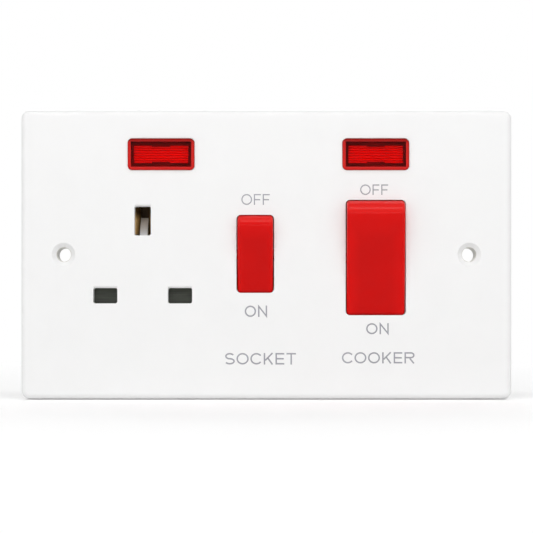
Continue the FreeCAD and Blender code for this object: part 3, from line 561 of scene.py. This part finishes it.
def lens_paint():
    """Red lens: an opaque rim with painted shade towards its top, about a clear window with painted shade
    outside its bright panel.
    """
    paint = Paint("red_lens")
    paint.set(IOR=1.15, Specular_IOR_Level=0.3)
    clear = paint.window(LENS_BOX, LENS_WINDOW, WINDOW_SOFT)
    between = paint.window(LENS_BOX, (PAST_LENS, NOTCH_LEVEL), PANEL_SOFT)
    beside = paint.outside(LENS_BOX, (NOTCH_HALF_WIDTH, PAST_LENS), PANEL_SOFT)
    panel = paint.lesser(paint.window(LENS_BOX, LENS_PANEL, PANEL_SOFT), paint.greater(between, beside))
    cloud = paint.noise(size=5.0, detail=3.0)
    # Painted shade in the window's frame outside the panel
    frame_shade = paint.blotch(cloud, shade(TINT, PANEL_SHADE), spread=0.05)
    bright = paint.blotch(cloud, TINT, spread=0.025)
    # Painted shade on the rim, darker towards its top
    rim = paint.ramp(paint.height(), shades(RIM, RIM_TOP_SHADE))
    paint.drive(
        Base_Color=paint.mix(clear, rim, paint.mix(panel, frame_shade, bright)),
        Transmission_Weight=clear,
        Roughness=paint.span(paint.noise(size=1.0), low=0.04, high=0.09),
    )
    paint.bump(paint.noise(size=0.9), height=0.001, strength=0.08)
    return paint


def capsule_paint():
    """Neon capsule with painted shade and light across the ribs on the front, plain behind."""
    paint = plastic("ribbed_natural", **NATURAL_FINISH)
    # Painted shade in the rib valleys and painted light on their crests
    ribs = paint.ramp(paint.waves(RIB_PITCH, RIB_FOOT), shades(NATURAL, RIB_LIGHT_AND_SHADE))
    plain = paint.blotch(paint.mottle(), NATURAL, spread=0.03)
    paint.drive(Base_Color=paint.mix(paint.depth(*RIB_FADE), ribs, plain))
    return paint


def glass_paint():
    """Clear glass of the neon lamps."""
    paint = Paint("neon_glass")
    paint.set(Transmission_Weight=1.0, IOR=1.5)
    paint.drive(
        Base_Color=paint.blotch(paint.noise(size=3.0), GLASS, spread=0.03),
        Roughness=paint.span(paint.noise(size=0.8), low=0.03, high=0.08),
    )
    return paint


def slide_paint():
    """Shutter slide whose ramp is lit at the front and has painted shade further in."""
    paint = plastic("slide_natural", **NATURAL_FINISH)
    stain = paint.noise(size=3.0, detail=4.0)
    # The lit front of the ramp, then painted shade further in
    front = paint.blotch(stain, SLIDE_LIT, spread=0.02)
    rear = paint.blotch(stain, SLIDE_SHADED, spread=0.04)
    paint.drive(Base_Color=paint.mix(paint.depth(*SLIDE_FADE), front, rear))
    return paint


def contact_paint():
    """Socket contacts of brass with painted shade inwards and towards the top of the earth slot."""
    paint = drawn("contact_brass", metallic=0.3, rough=0.34, stretch=ALONG_X)
    stain = paint.noise(size=3.0, detail=5.0)
    # Painted shade on the contacts inwards and towards the top of the earth slot
    lit_contact = paint.blotch(stain, LIT_BRASS, spread=0.11)
    shaded_contact = paint.blotch(stain, SHADED_BRASS, spread=0.25)
    shade_share = paint.greater(paint.depth(*CONTACT_FADE), paint.level(*CONTACT_SHADE))
    paint.drive(Base_Color=paint.mix(shade_share, lit_contact, shaded_contact))
    return paint


SLOT_PAINT = {
    "white_moulding": plate_paint(),
    "base_moulding": moulding(
        "base_moulding", BASE, spread=0.02, rough=0.48, grain=0.5, relief=0.012, edge=0.15
    ),
    "red_rocker": rocker_paint(),
    "red_lens": lens_paint(),
    "natural_moulding": moulding("natural_moulding", NATURAL, spread=0.03, **NATURAL_FINISH),
    "grey_shutter": shutter_paint(),
    "neon_glass": glass_paint(),
    "resistor_coat": moulding("resistor_coat", COAT, spread=0.08, rough=0.45, grain=0.3, relief=0.008),
    "brass": metal("brass", BRASS, rough=0.30, stretch=ALONG_X),
    "zinc_steel": metal("zinc_steel", ZINC, rough=0.34, stretch=ALONG_Y),
    "spring_steel": metal("spring_steel", SPRING, rough=0.32, stretch=ALONG_Y),
    "contact_silver": metal("contact_silver", SILVER, rough=0.30, stretch=ALONG_X),
    "plunger_nylon": moulding(
        "plunger_nylon", NYLON, spread=0.03, rough=0.40, grain=0.4, relief=0.006, edge=0.1
    ),
}
for entry in frame["record"]["subparts"]:
    data = nodes[entry["node"]].data
    data.materials.clear()
    data.materials.append(SLOT_PAINT[entry["material_slot"]].material)

OWN_PAINT = [
    (contact_paint(), ("socket_line_contact", "socket_neutral_contact", "socket_earth_contact")),
    (capsule_paint(), ("socket_neon_capsule", "cooker_neon_capsule")),
    (slide_paint(), ("shutter_slide",)),
]
for paint, names in OWN_PAINT:
    for name in names:
        nodes[name].data.materials[0] = paint.material


# Springs

def shorten(name, joint):
    """A copy of a CAD spring in its place, carried by the joint's parent body."""
    mesh = nodes[name].data.copy()
    piece = put(name + "_coil", mesh)
    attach(piece, joint["parent"])
    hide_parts(name)
    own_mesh(piece)


for joint in frame["joints"]:
    for entry in joint.get("deforming_nodes", []):
        shorten(entry["node"], joint)


# Legends, drawn with strokes of one width in a cell one cap height tall

def arc(middle, radii, start, end):
    """Points along an arc between two angles in degrees."""
    points = []
    for step in range(ARC_STEPS + 1):
        angle = math.radians(start + (end - start) * step / ARC_STEPS)
        points.append((middle[0] + radii[0] * math.cos(angle), middle[1] + radii[1] * math.sin(angle)))
    return points


def glyph(letter, stroke):
    """Strokes of a letter, each as (closed, centre line)."""
    width = LETTER_WIDTH[letter]
    half = stroke / 2.0
    right = width - half
    top = 1.0 - half
    stem = (False, [(half, 0.0), (half, 1.0)])
    top_bar = (False, [(stroke, top), (width, top)])
    if letter == "O":
        ring = arc((width / 2.0, MIDDLE), (width / 2.0 - half, MIDDLE - half), 0.0, 360.0)
        return [(True, ring[:-1])]
    if letter == "C":
        curve = arc((C_MIDDLE, MIDDLE), (C_MIDDLE - half, MIDDLE - half), C_MOUTH, 360.0 - C_MOUTH)
        return [(False, curve)]
    if letter == "S":
        rise = (MIDDLE - half) / 2.0
        reach = width / 2.0 - half
        upper = arc((width / 2.0, MIDDLE + rise), (reach * S_UPPER_SHARE, rise), S_MOUTH, 270.0)
        lower = arc((width / 2.0, MIDDLE - rise), (reach, rise), 90.0, S_MOUTH - 180.0)
        return [(False, upper + lower[1:])]
    if letter == "K":
        arm = (False, [(stroke, K_ARM_FOOT), (right, 1.0)])
        leg = (False, [K_LEG_TOP, (right, 0.0)])
        return [stem, arm, leg]
    if letter == "E":
        foot_bar = (False, [(stroke, half), (width, half)])
        middle_bar = (False, [(stroke, MIDDLE), (width * E_BAR_SHARE, MIDDLE)])
        return [stem, foot_bar, middle_bar, top_bar]
    if letter == "F":
        middle_bar = (False, [(stroke, F_BAR_LEVEL), (width * F_BAR_SHARE, F_BAR_LEVEL)])
        return [stem, middle_bar, top_bar]
    if letter == "T":
        whole_bar = (False, [(0.0, top), (width, top)])
        middle_stem = (False, [(width / 2.0, 0.0), (width / 2.0, 1.0 - stroke)])
        return [whole_bar, middle_stem]
    if letter == "N":
        return [(False, [(half, 0.0), (half, top), (right, half), (right, 1.0)])]
    bowl_top = (stroke, R_BOWL_MIDDLE[1] + R_BOWL_RADII[1])
    bowl_foot = (stroke, R_BOWL_MIDDLE[1] - R_BOWL_RADII[1])
    bowl = (False, [bowl_top] + arc(R_BOWL_MIDDLE, R_BOWL_RADII, 90.0, -90.0) + [bowl_foot])
    leg = (False, [R_LEG_TOP, (right, 0.0)])
    return [stem, bowl, leg]


def stroke_prism(mesh, points, closed, width, front, back):
    """A flat bar of one width along a line of (x, z) points, as a closed solid."""
    count = len(points)
    rings = []
    for index, (x, z) in enumerate(points):
        before = points[(index - 1) % count] if closed or index > 0 else points[index]
        after = points[(index + 1) % count] if closed or index < count - 1 else points[index]
        into = Vector((x - before[0], z - before[1]))
        out = Vector((after[0] - x, after[1] - z))
        into = into.normalized() if into.length > 0.0 else out.normalized()
        out = out.normalized() if out.length > 0.0 else into
        along = (into + out).normalized()
        side = Vector((-along.y, along.x))
        reach = width / 2.0 / max(MITRE_LIMIT, side.dot(Vector((-into.y, into.x))))
        ring = []
        for sign, y in ((-1.0, front), (1.0, front), (1.0, back), (-1.0, back)):
            ring.append(mesh.verts.new((x + sign * side.x * reach, y, z + sign * side.y * reach)))
        rings.append(ring)
    pairs = list(zip(rings, rings[1:]))
    if closed:
        pairs.append((rings[-1], rings[0]))
    for one, two in pairs:
        for index in range(len(one)):
            after = (index + 1) % len(one)
            mesh.faces.new((one[index], one[after], two[after], two[index]))
    if not closed:
        mesh.faces.new(rings[0][::-1])
        mesh.faces.new(rings[-1])


def set_word(word):
    """Each letter's place in a word, and the word's width, as shares of the cap height."""
    places = []
    end = 0.0
    for index, letter in enumerate(word):
        if index:
            both_round = letter in ROUND_LETTERS and word[index - 1] in ROUND_LETTERS
            end += ROUND_GAP if both_round else PLAIN_GAP
        places.append(end)
        end += LETTER_WIDTH[letter]
    return places, end


def print_legend(legend, paint):
    """One printed word as thin ink on the face of the plate."""
    left = (legend.left - PLATE_PIXEL_X) * PIXEL
    foot = (PLATE_PIXEL_Y - legend.foot) * PIXEL
    height = (legend.foot - legend.top) * PIXEL
    front = (PLATE_FRONT - INK_DEPTH) * MM
    back = (PLATE_FRONT + INK_SINK) * MM
    places, width = set_word(legend.word)
    stretch = (legend.right - legend.left) * PIXEL / width
    mesh = bmesh.new()
    for letter, place in zip(legend.word, places):
        for closed, points in glyph(letter, legend.stroke):
            line = [((left + (place + x) * stretch) * MM, (foot + z * height) * MM) for x, z in points]
            stroke_prism(mesh, line, closed, legend.stroke * height * MM, front, back)
    bmesh.ops.recalc_face_normals(mesh, faces=mesh.faces)
    data = bpy.data.meshes.new(legend.piece)
    mesh.to_mesh(data)
    mesh.free()
    data.materials.append(paint.material)
    piece = put(legend.piece, data)
    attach(piece, "unit")


ink = moulding("legend_ink", INK, spread=0.08, rough=0.55, specular=0.2, grain=0.2, relief=0.003)
for legend in LEGENDS:
    print_legend(legend, ink)


# Stage, light and camera

def studio_world():
    """Soft white light all round, seen as a plain white background."""
    world = bpy.data.worlds.new("studio")
    world.use_nodes = True
    sky = Tree(world.node_tree)
    fill = world.node_tree.nodes["Background"]
    seen = sky.add("ShaderNodeBackground")
    for node, strength in ((fill, AMBIENT), (seen, BACKDROP)):
        node.inputs["Color"].default_value = PURE_WHITE
        node.inputs["Strength"].default_value = strength
    both = sky.mix_shaders(sky.background(), fill.outputs["Background"], seen.outputs["Background"])
    sky.show(both, "World Output")
    return world


def floor_paint():
    """Pale floor that keeps the shadow and fades into the white background away from the part."""
    paint = Paint("pale_floor")
    paint.set(Roughness=0.9, Specular_IOR_Level=0.1)
    paint.drive(Base_Color=paint.blotch(paint.noise(size=60.0), FLOOR, spread=0.011))
    seen = paint.background()
    lift = paint.glow()
    paint.join(paint.span(seen, high=FLOOR_LIFT), lift.inputs["Strength"])
    lifted = paint.add("ShaderNodeAddShader")
    paint.join(paint.shader.outputs["BSDF"], lifted.inputs[0])
    paint.join(lift.outputs["Emission"], lifted.inputs[1])
    reach = paint.vector("LENGTH", paint.where)["Value"]
    far = paint.pair("MULTIPLY", paint.span(reach, start=FLOOR_NEAR, end=FLOOR_FAR), seen)
    faded = paint.mix_shaders(far, lifted.outputs["Shader"], paint.glow().outputs["Emission"])
    paint.show(faded, "Material Output")
    return paint


def lamp(name, place, power, width, height):
    """A soft rectangular lamp that faces the part, in metres and watts."""
    data = bpy.data.lights.new(name, "AREA")
    data.shape = "RECTANGLE"
    data.size = width
    data.size_y = height
    data.energy = power
    item = put(name, data)
    item.location = place
    item.rotation_euler = (-Vector(place)).to_track_quat("-Z", "Y").to_euler()


bpy.context.scene.world = studio_world()

corners = [(x * FLOOR_HALF, y * FLOOR_HALF, cad_low.z - FLOOR_DROP) for x, y in SQUARE]
floor_mesh = bpy.data.meshes.new("floor")
floor_mesh.from_pydata(corners, [], [range(len(corners))])
floor_mesh.materials.append(floor_paint().material)
floor = put("floor", floor_mesh)

lamp("key", (0.0, -0.65, 1.15), power=6.0, width=1.3, height=0.25)
lamp("front", (0.0, -1.3, 0.42), power=4.2, width=1.2, height=0.3)
lamp("left", (-1.0, -0.7, 0.15), power=2.8, width=0.6, height=0.9)
lamp("right", (1.0, -0.7, 0.15), power=2.8, width=0.6, height=0.9)
lamp("rear", (0.0, 1.1, 0.6), power=5.0, width=1.4, height=0.7)

view_width = PICTURE * PIXEL
rise = CAMERA_DROP + (PLATE_PIXEL_Y - PICTURE / 2.0) * PIXEL
camera_data = bpy.data.cameras.new("camera")
camera_data.sensor_width = SENSOR
camera_data.lens = SENSOR * CAMERA_DISTANCE / view_width
camera_data.shift_x = (PICTURE / 2.0 - PLATE_PIXEL_X) / PICTURE
camera_data.shift_y = rise / view_width
camera_data.clip_start = CLIP_START * MM
camera = put("camera", camera_data)
camera.location = (0.0, (PLATE_FRONT - CAMERA_DISTANCE) * MM, -CAMERA_DROP * MM)
camera.rotation_euler = (math.radians(90.0), 0.0, 0.0)
bpy.context.scene.camera = camera
